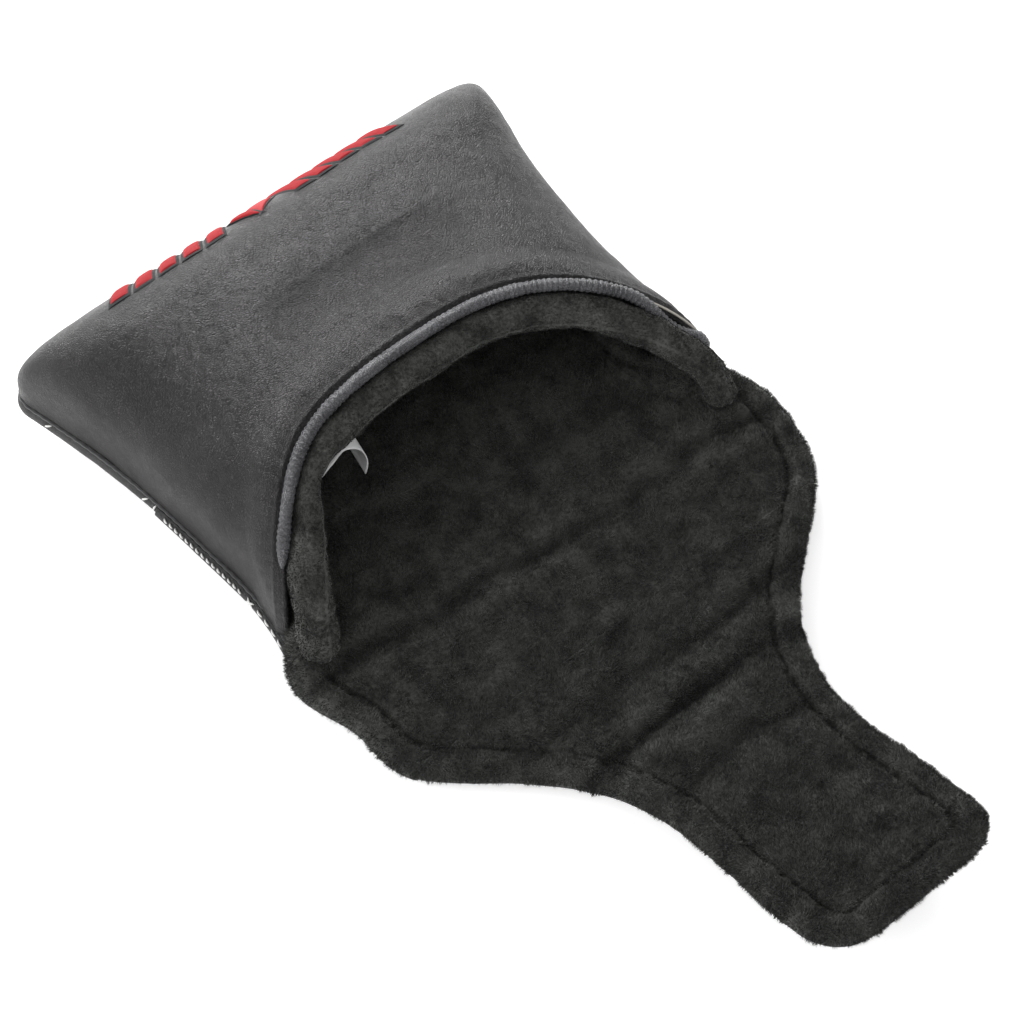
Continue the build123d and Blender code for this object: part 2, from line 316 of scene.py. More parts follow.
def add_bump(tree, shader, height, strength, distance, below=None):
    node = add(tree, "ShaderNodeBump", Strength=strength, Distance=distance * MM)
    tree.links.new(height, node.inputs["Height"])
    if below is not None:
        tree.links.new(below, node.inputs["Normal"])
    tree.links.new(node.outputs["Normal"], shader.inputs["Normal"])
    return node.outputs["Normal"]


def leather_material(name, dark, light, roughness, grain=0.62, specular=0.5):
    """Fine creased grain with satin sheen, the creases darkened in colour as painted shade; the grain's cells
    are about `grain` millimetres.
    """
    material, tree, shader = nodes_of(name)
    vector = millimetres(tree)
    warp = add(tree, "ShaderNodeTexNoise", Scale=0.35, Detail=2.0)
    tree.links.new(vector, warp.inputs["Vector"])
    warped = add(tree, "ShaderNodeMixRGB", blend_type="LINEAR_LIGHT")
    warped.inputs["Fac"].default_value = 0.9
    tree.links.new(vector, warped.inputs["Color1"])
    tree.links.new(warp.outputs["Color"], warped.inputs["Color2"])
    stretched = add(tree, "ShaderNodeMapping")
    set_inputs(stretched, {"Rotation": (0, 0, math.radians(35)), "Scale": (1.0, 1.9, 1.3)})
    tree.links.new(warped.outputs["Color"], stretched.inputs["Vector"])
    cells = add(tree, "ShaderNodeTexVoronoi", feature="DISTANCE_TO_EDGE", Scale=0.75 / grain)
    tree.links.new(stretched.outputs["Vector"], cells.inputs["Vector"])
    creases = ramp(tree, cells.outputs["Distance"], 0.0, 0.22, [(0, 0, 0), (1, 1, 1)])
    fine = texture_noise(tree, stretched.outputs["Vector"], 2.2 / grain, 4.0, 0.7)
    height = math_node(tree, "ADD", creases, math_node(tree, "MULTIPLY", fine, 0.9))
    patches = texture_noise(tree, vector, 0.09, 3.0)
    color = ramp(tree, patches, 0.35, 0.7, [dark, light])
    # Painted shade: the colour is darkened along the grain's creases.
    painted_crease_shade = add(tree, "ShaderNodeMixRGB", blend_type="MULTIPLY")
    painted_crease_shade.inputs["Fac"].default_value = 0.9
    tree.links.new(color, painted_crease_shade.inputs["Color1"])
    tree.links.new(creases, painted_crease_shade.inputs["Color2"])
    tree.links.new(painted_crease_shade.outputs["Color"], shader.inputs["Base Color"])
    smoother, rougher = (roughness - 0.06,) * 3, (roughness + 0.07,) * 3
    gloss = ramp(tree, texture_noise(tree, vector, 0.3, 4.0), 0.3, 0.7, [smoother, rougher])
    tree.links.new(gloss, shader.inputs["Roughness"])
    shader.inputs["Specular IOR Level"].default_value = specular
    wrinkles = texture_noise(tree, vector, 0.16, 3.0)
    first = add_bump(tree, shader, wrinkles, 0.3, 0.6)
    add_bump(tree, shader, height, 0.6, 0.28, below=first)
    return material


def fleece_material(name, root, tip, patch):
    """Plush cloth: dark base, lighter pile tips from the mesh's `tip` attribute (which also carries painted
    light and shade), brushed patches.
    """
    material, tree, shader = nodes_of(name)
    vector = millimetres(tree)
    brushed = texture_noise(tree, vector, 0.13, 3.0, 0.55)
    tufts = texture_noise(tree, vector, 1.1, 3.0, 0.7)
    wide, narrow = math_node(tree, "MULTIPLY", brushed, patch), math_node(tree, "MULTIPLY", tufts, 1 - patch)
    both = math_node(tree, "ADD", wide, narrow)
    mixed = add(tree, "ShaderNodeMixRGB")
    set_inputs(mixed, {"Color1": (*root, 1), "Color2": (*tip, 1)})
    attribute = add(tree, "ShaderNodeAttribute", attribute_name="tip")
    patches = ramp(tree, both, 0.40, 0.60, [(0.12,) * 3, (1.0,) * 3])
    amount = math_node(tree, "MULTIPLY", attribute.outputs["Fac"], patches)
    tree.links.new(amount, mixed.inputs["Fac"])
    tree.links.new(mixed.outputs["Color"], shader.inputs["Base Color"])
    set_inputs(shader, {"Roughness": 0.85, "Specular IOR Level": 0.15})
    set_inputs(shader, {"Sheen Weight": 0.25, "Sheen Roughness": 0.5, "Sheen Tint": (0.6, 0.62, 0.6, 1)})
    add_bump(tree, shader, tufts, 0.6, 0.5)
    return material


def thread_material(name, color, roughness=0.55, twist=3.0, sheen=0.3):
    """Twisted thread: fine diagonal strands."""
    material, tree, shader = nodes_of(name)
    vector = millimetres(tree)
    wave = add(tree, "ShaderNodeTexWave", Scale=twist, Distortion=1.5, Detail=2.0)
    wave.bands_direction = "DIAGONAL"
    tree.links.new(vector, wave.inputs["Vector"])
    shade = ramp(tree, wave.outputs["Fac"], 0.0, 1.0, [tuple(0.6 * c for c in color), color])
    tree.links.new(shade, shader.inputs["Base Color"])
    set_inputs(shader, {"Roughness": roughness, "Sheen Weight": sheen, "Specular IOR Level": 0.25})
    add_bump(tree, shader, wave.outputs["Fac"], 0.5, 0.12)
    return material


def cloth_material(name, color, weave=0.45):
    """Plain woven or felted cloth for ribbon, backing and pockets."""
    material, tree, shader = nodes_of(name)
    vector = millimetres(tree)
    warp = add(tree, "ShaderNodeTexWave", Scale=1 / weave)
    weft = add(tree, "ShaderNodeTexWave", Scale=1 / weave)
    weft.bands_direction = "Y"
    tree.links.new(vector, warp.inputs["Vector"])
    tree.links.new(vector, weft.inputs["Vector"])
    both = math_node(tree, "MULTIPLY", warp.outputs["Fac"], weft.outputs["Fac"])
    shade = ramp(tree, both, 0.0, 1.0, [tuple(0.85 * c for c in color), color])
    tree.links.new(shade, shader.inputs["Base Color"])
    shader.inputs["Roughness"].default_value = 0.7
    add_bump(tree, shader, both, 0.3, 0.08)
    return material


def magnet_material():
    material, tree, shader = nodes_of("magnet_metal")
    vector = millimetres(tree, (1, 12, 1))
    streaks = texture_noise(tree, vector, 0.8, 4.0)
    shade = ramp(tree, streaks, 0.3, 0.7, [(0.55, 0.55, 0.57), (0.75, 0.75, 0.77)])
    tree.links.new(shade, shader.inputs["Base Color"])
    set_inputs(shader, {"Metallic": 1.0, "Roughness": 0.3})
    return material


top_dark, top_light = (0.017, 0.0158, 0.0165), (0.032, 0.0300, 0.0311)
top_leather_look = leather_material("top_leather_grain", top_dark, top_light, 0.38, specular=0.22)
sole_leather_look = leather_material("sole_leather_grain", (0.016, 0.016, 0.016), (0.026, 0.026, 0.026), 0.5)
# The binding is the same black leather as the top, coloured about four times lighter: painted highlight along
# the binding.
highlit_binding_look = leather_material("binding_leather_painted_highlight", (0.07, 0.07, 0.078), (0.13, 0.13, 0.142), 0.3, grain=0.5)
fleece_look = fleece_material("black_fleece", (0.0050, 0.0053, 0.0047), (0.108, 0.110, 0.101), 0.55)
cut_edge_look = cloth_material("leather_cut_edge", (0.42, 0.40, 0.35), 0.5)
white_thread_look = thread_material("white_thread", (0.85, 0.85, 0.84))
dark_thread_look = thread_material("black_thread", (0.02, 0.02, 0.022))
red_thread_look = thread_material("red_thread", (0.40, 0.006, 0.012), 0.7, 5.0, sheen=0.0)
outline_thread_look = thread_material("outline_thread", (0.008, 0.008, 0.010), 0.6, 5.0, sheen=0.0)
ribbon_look = cloth_material("white_ribbon", (0.86, 0.86, 0.86))
magnet_look = magnet_material()


# ---------------------------------------------------------------- pouch form


def half_width(y):
    t = y / depth
    return mouth_half + (end_half - mouth_half) * t - waist * np.sin(math.pi * np.clip(t, 0, 1))


def seam_height(y):
    return mouth_seam + (end_seam - mouth_seam) * y / depth


def arch_curve(x):
    """How far the top's edge is set back from the mouth; its left shoulder is a little squarer."""
    return arch_setback * np.clip(1 - np.abs(x / mouth_half) ** arch_power, 0, 1) + 2.1 * bump(x + 38, 15)


def fall(y, start, radius):
    t = np.clip((y - start) / radius, 0, 1)
    return np.sqrt(1 - t * t)


def top_point(angle, y, inset=0.0):
    """The top's surface: angle runs from 0 at the right seam to pi at the left one."""
    corner = max(1.0, plan_corner - inset)
    width = half_width(y) - inset - corner * (1 - fall(y, depth - inset - corner, corner))
    level = seam_height(y) + inset / 2
    crown = mouth_crown + (end_crown - mouth_crown) * np.minimum(1, y / (depth - end_round))
    rise = (seam_height(y) + crown - inset - level) * fall(y, depth - end_round, end_round - inset)
    power = mouth_power + (end_power - mouth_power) * np.clip(y / depth, 0, 1)
    c, s = np.cos(angle), np.sin(angle)
    x = width * np.sign(c) * np.abs(c) ** (2 / power)
    z = level + rise * np.abs(s) ** (2 / power)
    return settle(x, y, z)


def settle(x, y, z):
    """Handling marks: flared corners at the closed end, a fuller right side, the left side drawn in."""
    side = np.clip(np.abs(x) / end_half, 0, 1)
    ends = smooth((y - 0.5 * depth) / (0.5 * depth))
    flare = side**3 * ends
    full = 1.2 * np.sin(math.pi * np.clip(y / depth, 0, 1)) * smooth(2 * side - 1) * (x > 0)
    tuck = 4.2 * bump(y - 12, 23) * smooth(2 * side - 1) * (x < 0)
    rise = 2.6 * flare * np.clip(z / 30, 0, 1)
    moved = (x + np.sign(x) * flare + full + tuck, y + 2.3 * flare, z + rise)
    return np.stack(np.broadcast_arrays(*moved), axis=-1)


def bottom_point(angle, y, outset=0.0):
    """The sole's surface: angle runs from pi at the left seam, under the sole, to 2 pi at the right one."""
    width = half_width(y) + outset - plan_corner * (1 - fall(y, depth - plan_corner, plan_corner))
    level = seam_height(y) - 0.15
    drop = level * fall(y, depth - sole_round, sole_round)
    c, s = np.cos(angle), np.sin(angle)
    x = width * np.sign(c) * np.abs(c) ** 0.42
    z = level - drop * np.abs(s) ** wall_power
    bulge = 2.1 * np.sqrt(np.sin(math.pi * np.clip(z / np.maximum(level, 1), 0, 1)))
    x = x + np.sign(c) * (bulge * smooth(np.abs(c) * 2) - 0.3)
    return settle(x, y, z)


def even_angles(count):
    """Angles that put the columns of the top at even spacing across it."""
    a = np.linspace(0.002, math.pi - 0.002, 4001)
    p = top_point(a, np.full_like(a, depth * 0.4))
    run = np.concatenate([[0], np.cumsum(np.linalg.norm(np.diff(p, axis=0), axis=1))])
    return np.interp(np.linspace(0, run[-1], count), run, a)


def arch_y(angles, inset=0.0):
    y = np.zeros_like(angles)
    for _ in range(30):
        y = arch_curve(top_point(angles, y, inset)[..., 0])
    return y


def end_stations(start, count, inset=0.0):
    """Distances from the arch to the closed end, closer together round the end."""
    t = np.linspace(0, 1, count)[:, None]
    straight = depth - end_round
    share = 0.62
    early = np.clip(t / share, 0, 1)
    ahead = start + (straight - start) * (0.35 * early + 0.65 * early**2.2)
    turn = np.clip((t - share) / (1 - share), 0, 1) * math.radians(89.5)
    return np.where(t <= share, ahead, straight + (end_round - inset) * np.sin(turn))


def arch_frames(angles, inset=0.0):
    """Points on the arch's edge, with the directions out of the mouth and out of the surface."""
    y = arch_y(angles, inset)
    edge = top_point(angles, y, inset)
    step = 0.004
    before, after = (top_point(a, arch_y(a, inset), inset) for a in (angles - step, angles + step))
    along = after - before
    back = top_point(angles, y + 0.5, inset) - edge
    outward = np.cross(back, along)
    outward /= np.linalg.norm(outward, axis=1, keepdims=True)
    ahead = np.cross(outward, along)
    ahead /= np.linalg.norm(ahead, axis=1, keepdims=True)
    return edge, ahead, outward


# ---------------------------------------------------------------- top leather


def top_grid(rows=160, columns=290, inset=0.0):
    angles = even_angles(columns)[None, :]
    start = arch_y(angles, inset)
    y = end_stations(start, rows, inset)
    return top_point(np.broadcast_to(angles, y.shape), y, inset), y - start


def pad_top(points, from_arch):
    """Padding and handling marks: a rounded edge, a seam line behind it, soft unevenness."""
    normals = grid_normals(points)
    if normals[len(normals) // 3, normals.shape[1] // 2, 2] < 0:
        normals = -normals
    x, y = points[..., 0], points[..., 1]
    lift = 0.40 * layered_noise(points, 26.0, 11) + 0.12 * layered_noise(points, 9.0, 21)
    lift *= smooth(from_arch / 12.0) * smooth((depth - y) / 10.0)
    lift += 0.8 * np.sin(math.pi * np.clip(from_arch / 14.0, 0, 1)) * smooth(from_arch / 3.0)
    lift -= 0.5 * bump(from_arch - 0.5, 0.6)
    lift += 0.30 * bump(from_arch - 2.7, 0.8)
    run = np.cumsum(np.linalg.norm(np.gradient(points, axis=1), axis=-1), axis=1)
    creases = np.sin(1.9 * run + 2.2 * noise(points, 5.0, 31) + 1.5 * noise(points, 12.0, 32))
    lift += 0.10 * creases * bump(from_arch - 2.0, 5.0) * (0.6 + 0.4 * noise(points, 9.0, 33))
    lift += 0.03 * (noise(points, 1.4, 34) + noise(points, 2.4, 35)) * smooth((depth - y) / 4.0)
    return points + normals * lift[..., None], normals


def simulate_cover(rows=44, columns=80, frames=20, evenings=10, cap=0.35):
    """Cloth simulation of the padded cover, held at its seams and pressed from inside: each point's move."""
    points, _ = top_grid(rows, columns)
    cover = new_object("cover_cloth", points, grid_faces(rows, columns), top_leather_look)
    held = cover.vertex_groups.new(name="seams")
    numbers = np.arange(rows * columns).reshape(rows, columns)
    ring = np.concatenate([numbers[[0, -1]].ravel(), numbers[:, [0, -1]].ravel()])
    held.add(ring.tolist(), 1.0, "REPLACE")
    settings = cover.modifiers.new("cloth", "CLOTH").settings
    settings.quality = 8
    settings.mass = 0.3
    settings.vertex_group_mass = "seams"
    settings.use_pressure = True
    settings.uniform_pressure_force = 4.0
    settings.effector_weights.gravity = 0
    settings.shrink_min = -0.012
    scene = bpy.context.scene
    for step in range(1, frames + 1):
        scene.frame_set(step)
    done = cover.evaluated_get(bpy.context.evaluated_depsgraph_get()).data
    moved = np.empty(3 * rows * columns, np.float32)
    done.vertices.foreach_get("co", moved)
    moved = moved.reshape(rows, columns, 3) / MM - points
    scene.frame_set(1)
    bpy.data.objects.remove(cover)
    for _ in range(evenings):
        wide = np.pad(moved, ((1, 1), (1, 1), (0, 0)), mode="edge")
        moved = (wide[:-2, 1:-1] + wide[2:, 1:-1] + wide[1:-1, :-2] + wide[1:-1, 2:] + 4 * moved) / 8
    length = np.linalg.norm(moved, axis=-1, keepdims=True)
    return moved * np.minimum(1, cap / np.maximum(length, 1e-6))


def spread(coarse, rows, columns):
    """A coarse grid's values on a finer grid."""
    i = np.linspace(0, coarse.shape[0] - 1, rows)
    j = np.linspace(0, coarse.shape[1] - 1, columns)
    i0, j0 = np.minimum(i.astype(int), coarse.shape[0] - 2), np.minimum(j.astype(int), coarse.shape[1] - 2)
    fi, fj = smooth(i - i0)[:, None, None], smooth(j - j0)[None, :, None]
    near = coarse[i0][:, j0] * (1 - fj) + coarse[i0][:, j0 + 1] * fj
    far = coarse[i0 + 1][:, j0] * (1 - fj) + coarse[i0 + 1][:, j0 + 1] * fj
    return near * (1 - fi) + far * fi


def make_top():
    points, from_arch = top_grid()
    clear_of_emblem = smooth((depth - 16.0 - points[..., 1]) / 18.0)
    clear_of_arch = smooth(from_arch / 8.0)
    moved = spread(simulate_cover(), *points.shape[:2])
    points = points + moved * (clear_of_emblem * clear_of_arch)[..., None]
    outer, normals = pad_top(points, from_arch)
    inner = outer - normals * leather
    return flip_outward(sheet("top_leather_panel", outer, inner, top_leather_look))


# ---------------------------------------------------------------- flap form

flap_half_at = cubic_through(outline_at, outline_half)


def outline_half_width(s):
    """The flap's half-width with its rounded tip corners."""
    width = flap_half_at(s)
    return width - tip_corner * (1 - fall(s, flap_length - tip_corner, tip_corner))


def curl(s):
    """How far the flap has risen off the table at a distance from the mouth."""
    return tip_rise * (np.clip(s - flat_length, 0, None) / 100.0) ** 2


def edge_line():
    """The right half of the flap's outline, then its tip, as one line of points."""
    s = np.concatenate([np.linspace(-60, 125, 260), np.linspace(125.5, flap_length, 60)])
    right = np.stack([outline_half_width(s), -s], axis=-1)
    tip = np.stack([np.linspace(right[-1, 0], 0, 16)[1:], np.full(15, -flap_length)], axis=-1)
    return np.concatenate([right, tip])


EDGE = edge_line()


def edge_distance(x, y):
    """Distance from the flap's outline, inside it."""
    flat = np.stack([np.abs(x).ravel(), y.ravel()], axis=-1)
    out = np.empty(len(flat))
    for i in range(0, len(flat), 4000):
        block = flat[i : i + 4000]
        a, b = EDGE[:-1], EDGE[1:]
        ab = b - a
        t = np.einsum("ijk,jk->ij", block[:, None] - a, ab) / np.einsum("jk,jk->j", ab, ab)
        near = a + np.clip(t, 0, 1)[..., None] * ab
        out[i : i + 4000] = np.sqrt(((block[:, None] - near) ** 2).sum(-1)).min(1)
    return out.reshape(x.shape)


def across_steps(count, edge_share=0.42):
    """Positions from -1 to 1 across the flap, closer together near its edges."""
    t = np.linspace(-1, 1, count)
    return np.sign(t) * (np.abs(t) + edge_share * np.sin(math.pi * np.abs(t)) / math.pi)


drift_at = np.array([-10.0, 0.0, 12.0, 25.0, 45.0, 75.0, 110.0, 140.0])
drift_right = np.array([0.0, 0.3, 2.4, 3.0, 1.2, 1.0, 1.7, 2.9])
DRIFT_AT = np.linspace(drift_at[0], drift_at[-1], 301)
DRIFT = cubic_through(drift_at, drift_right)(DRIFT_AT)


def drift(s):
    """How far to the right of straight the flap lies."""
    return np.interp(s, DRIFT_AT, DRIFT)


def on_flap(x, s):
    """Points of the flat flap, for noise that is fixed to it."""
    return np.stack([x, s, np.zeros_like(x)], axis=-1)


def flap_grid(start, stop, rows, columns, inset=0.0):
    """Points over the flap: x, y, distance s, and the distance inside its edge."""
    t = np.linspace(0, 1, rows)
    at_tip = stop > flap_length - 1
    if at_tip:
        t = t + 0.35 * np.sin(math.pi * t) / math.pi
    s = start + (stop - inset * at_tip - start) * t
    half = outline_half_width(np.minimum(s + inset * at_tip, flap_length)) - inset
    straight = half[:, None] * across_steps(columns)[None, :]
    s = np.broadcast_to(s[:, None], straight.shape)
    edge = edge_distance(straight, -s)
    narrowed = straight * (1 - (straight < 0) * 0.045 * bump(s - 22, 13))
    wavy = 0.45 * noise(on_flap(straight, s), 9.0, 43) * bump(edge, 6.0) * np.sign(straight)
    return narrowed + wavy + drift(s), -s, s, edge


# Each fold across the flap: its distance from the mouth, its slant, its width and its depth.
CREASES = [
    (13.0, 0.05, 2.4, 2.1),
    (54.0, 0.02, 2.7, 2.2),
    (68.0, -0.02, 2.4, 2.3),
    (84.0, 0.04, 2.8, 1.9),
    (-12.0, 0.1, 5.0, 0.7),
    (34.0, -0.09, 5.0, 0.8),
    (45.0, 0.12, 3.5, 0.7),
    (102.0, -0.05, 4.5, 0.6),
]


def crease_shape(x, s):
    """Soft folds across the flap: a valley between two low ridges."""
    z = np.zeros_like(x)
    p = on_flap(x, s)
    wander = 1.8 * noise(p, 17.0, 41) + 0.6 * noise(p, 6.0, 42)
    for at, slant, width, deep in CREASES:
        d = s - at - slant * x - wander
        strength = 0.55 + 0.45 * noise(p, 23.0, int(at + 100))
        ridges = bump(d - 2.0 * width, 1.4 * width) + bump(d + 2.0 * width, 1.4 * width)
        z += deep * strength * (0.6 * ridges - bump(d, width))
    return z


def lining_height(x, s, d):
    """The fleece's upper surface: padded middle, sewn channel, raised border roll."""
    crown = border_top - 0.2
    crown_in = 3.2  # the roll is highest this far inside the edge
    rim = np.clip(d / crown_in, 0, 1)
    roll = crown - 4.8 * (1 - np.sqrt(1 - (1 - rim) ** 2)) - 0.6 * np.clip((d - crown_in) / 3.0, 0, 1) ** 2
    middle = lining_top + 0.4 * smooth((d - border_width) / 14.0) - 0.2
    height = roll + (middle - roll) * smooth((d - border_width + 0.6) / 2.2)
    height -= 2.0 * bump(d - border_width - 0.7, 0.95) * (1 - bump(s, 9.0))
    p = on_flap(x, s)
    height += 0.30 * layered_noise(p, 13.0, 51) + 0.22 * layered_noise(p, 2.8, 61)
    height += crease_shape(x, s) * (0.3 + 0.7 * smooth((d - 3.0) / 8.0))
    lobe_half = 5.5  # half-width of the padded lobe at each corner of the mouth
    lobe = 6.0 * bump(s + 2.0, 9.5) * np.sqrt(np.clip(1 - (d / lobe_half - 1) ** 2, 0, 1))
    return height + lobe + curl(s)


def lining_piece(name, start, stop, rows, columns):
    x, y, s, d = flap_grid(start, stop, rows, columns)
    top = np.stack([x, y, lining_height(x, s, d)], axis=-1)
    under_x = drift(s) + (x - drift(s)) * 0.992
    under = np.stack([under_x, y, np.minimum(3.5 + curl(s), top[..., 2] - 0.1)], axis=-1)
    obj = flip_outward(sheet(name, top, under, fleece_look))
    tip_tone_and_painted_light(obj, 0.4)
    return obj, top


def painted_fold_light(points):
    """How much lighter the pile is coloured on a fold's ridges and darker in its valleys: painted light and
    shade on the folds.
    """
    s = -points[..., 1]
    rise = crease_shape(points[..., 0] - drift(s), s)
    return np.clip(1 + 0.55 * rise * (s > -30), 0.25, 1.9)


def tip_tone_and_painted_light(obj, value):
    """Gives a bare fleece surface the same brightness attribute as its pile, including the folds' painted
    light and shade.
    """
    count = len(obj.data.vertices)
    points = np.empty(3 * count, np.float32)
    obj.data.vertices.foreach_get("co", points)
    points = points.reshape(-1, 3).astype(float) / MM
    tips = obj.data.attributes.new("tip", "FLOAT", "POINT")
    tips.data.foreach_set("value", (value * painted_fold_light(points)).astype(np.float32))


def flap_leather(name, start, stop, rows, columns):
    """The flap's leather back, its edge turned up round the padding."""
    x, y, s, d = flap_grid(start, stop, rows, columns, 0.9)
    turned = 2.6 * (1 - np.sqrt(1 - (1 - np.clip(d / 3.0, 0, 1)) ** 2))
    p = on_flap(x, s)
    under_z = turned + curl(s) + 0.12 * np.clip(layered_noise(p, 15.0, 91), 0, 2)
    under = np.stack([x, y, under_z], axis=-1)
    top = under + np.array([0.0, 0.0, leather])
    return flip_outward(sheet(name, top, under, sole_leather_look))


# The bodies on either side of each fold, and where the bend starts and ends along the flap.
FIRST_FOLD = ("pouch", "flap", fold_at - 5, fold_at + 15)
SECOND_FOLD = ("flap", "tongue", tongue_fold_at - 12, tongue_fold_at + 12)


# ---------------------------------------------------------------- pile


def pile(name, grid, count, length, seed, painted_light_gain=1.0):
    """Short fibres standing on a grid of points: one thin triangle each."""
    rng = np.random.default_rng(seed)
    normals = grid_normals(grid)
    if np.mean(normals[..., 2]) < 0:
        normals = -normals
    normals = normals[:-1, :-1].reshape(-1, 3)
    corners = np.stack([grid[:-1, :-1], grid[:-1, 1:], grid[1:, 1:], grid[1:, :-1]], axis=2).reshape(-1, 4, 3)
    area = np.linalg.norm(np.cross(corners[:, 2] - corners[:, 0], corners[:, 3] - corners[:, 1]), axis=1)
    pick = rng.choice(len(area), size=count, p=area / area.sum())
    u, v = rng.random((count, 1)), rng.random((count, 1))
    q = corners[pick]
    root = (q[:, 0] * (1 - u) + q[:, 1] * u) * (1 - v) + (q[:, 3] * (1 - u) + q[:, 2] * u) * v
    normal = normals[pick]
    lean = np.stack([scale * noise(root, 6.0, seed + k) for k, scale in ((1, 1), (2, 1), (3, 0.3))], axis=-1)
    lean += 0.35 * rng.normal(size=(count, 3))
    direction = normal + 0.75 * lean
    direction /= np.linalg.norm(direction, axis=1, keepdims=True)
    clump = np.clip(0.5 + 0.9 * noise(root, 1.9, seed + 4), 0, 1)
    long = length * (0.45 + 0.35 * rng.random((count, 1)) + 0.6 * clump[:, None])
    side = np.cross(direction, rng.normal(size=(count, 3)))
    side /= np.linalg.norm(side, axis=1, keepdims=True)
    half = 0.11
    root = root - 0.15 * normal
    points = np.stack([root - side * half, root + side * half, root + direction * long], axis=1)
    mesh = bpy.data.meshes.new(name)
    mesh.vertices.add(3 * count)
    mesh.vertices.foreach_set("co", (points.reshape(-1, 3) * MM).astype(np.float32).ravel())
    mesh.loops.add(3 * count)
    mesh.loops.foreach_set("vertex_index", np.arange(3 * count, dtype=np.int32))
    mesh.polygons.add(count)
    mesh.polygons.foreach_set("loop_start", np.arange(0, 3 * count, 3, dtype=np.int32))
    mesh.update(calc_edges=True)
    tips = mesh.attributes.new("tip", "FLOAT", "POINT")
    shade = np.zeros((count, 3), np.float32)
    # painted_light_gain scales the pile's whole brightness; above 1 it is painted light.
    shade[:, :2] = 0.2 * painted_light_gain
    # Tip brightness: random and clumped tone, times the folds' painted light and shade.
    shade[:, 2] = painted_light_gain * (0.2 + 0.5 * rng.random(count) + 0.6 * clump) * painted_fold_light(root)
    tips.data.foreach_set("value", shade.ravel())
    mesh.materials.append(fleece_look)
    obj = bpy.data.objects.new(name, mesh)
    bpy.context.scene.collection.objects.link(obj)
    return obj


# ---------------------------------------------------------------- mouth


def mouth_angles(count, start=3.0):
    """Angles along the arch at even spacing."""
    a = np.linspace(math.radians(start), math.pi - math.radians(start), 1201)
    p = top_point(a, arch_y(a))
    run = np.concatenate([[0], np.cumsum(np.linalg.norm(np.diff(p, axis=0), axis=1))])
    return np.interp(np.linspace(0, run[-1], count), run, a)


pucker_at = math.radians(27)  # the binding stands off the leather here
binding_end = math.radians(154)  # past here the collar roll covers the arch's edge


def pucker(angles):
    return bump(angles - pucker_at, math.radians(9.5))


def tapered(path, over):
    """Shares of the full radius along a line, falling to nearly nothing over its last millimetres."""
    run = np.cumsum(np.linalg.norm(np.gradient(path, axis=0), axis=1))
    return run, np.sqrt(np.clip(np.minimum(run - run[0], run[-1] - run) / over, 0.02, 1))


def make_binding():
    """The leather binding round the arch's edge, gathered along its length."""
    angles = mouth_angles(620, 11.0)
    angles = angles[angles < binding_end]
    edge, ahead, outward = arch_frames(angles)
    off = pucker(angles)[:, None]
    path = edge + (0.5 + 1.4 * off) * ahead + (0.3 - 3.2 * off) * outward
    run, ends = tapered(path, 5.0)
    sides = 24
    around = np.linspace(0, 2 * math.pi, sides, endpoint=False)[None, :]
    uneven = [noise(path, size, seed)[:, None] for size, seed in ((4.0, 71), (7.0, 72), (3.0, 73))]
    gathers = 0.17 * np.sin(run[:, None] * 4.6 + 2.5 * uneven[0] + 0.6 * np.sin(around))
    radii = (1.55 + gathers * (0.6 + 0.6 * uneven[1]) + 0.12 * uneven[2]) * ends[:, None]
    points, faces = tube(path, radii, sides, ahead)
    return flip_outward(new_object("mouth_binding", points, faces, highlit_binding_look))


def make_cut_edge():
    """The leather's cut edge, bare where the binding stands off."""
    count = 160
    angles = np.linspace(math.radians(9), math.radians(46), count)
    edge, ahead, outward = arch_frames(angles)
    path = edge + 0.35 * ahead + 0.15 * outward
    thin = np.sqrt(np.clip(np.sin(math.pi * np.linspace(0, 1, count)), 0.01, 1))[:, None]
    points, faces = tube(path, 0.27 * thin, 10, ahead)
    return flip_outward(new_object("leather_cut_edge", points, faces, cut_edge_look))


def make_roll(count=420, sides=36):
    """The padded collar roll: pressed thin over the label, full at its left end, both ends tucked down."""
    angles = mouth_angles(count, 5.0)
    edge, ahead, outward = arch_frames(angles)

    def near(middle, width):
        return bump(angles - math.radians(middle), math.radians(width))

    thin = 1 - 0.40 * near(124, 14) + 0.22 * near(162, 16)
    path = edge + 3.5 * ahead - (roll_radius * thin + 1.5 - 2.2 * (1 - thin))[:, None] * outward
    low = near(5, 9) + near(175, 9)
    path[:, 1] -= 5.0 * low
    path[:, 0] += 1.6 * low * np.sign(path[:, 0]) - 1.5 * near(162, 14)
    path[:, 2] = np.maximum(path[:, 2], lining_top + 3.0) - 6.0 * (near(5, 4) + near(175, 4))
    _, ends = tapered(path, 5.0)
    points, faces = tube(path, (roll_radius * ends * thin)[:, None], sides, ahead)
    bumps = 0.45 * layered_noise(points, 9.0, 81) + 0.26 * layered_noise(points, 2.4, 82)
    centre = path[:, None, :]
    points = centre + (points - centre) * (1 + bumps / roll_radius)[..., None]
    obj = flip_outward(new_object("mouth_collar_roll", points, faces, fleece_look))
    # Tips lighter than the flap lining's 0.4: painted light on the collar roll.
    tip_tone_and_painted_light(obj, 0.6)
    return obj, points


# ---------------------------------------------------------------- sole, seam and stitches


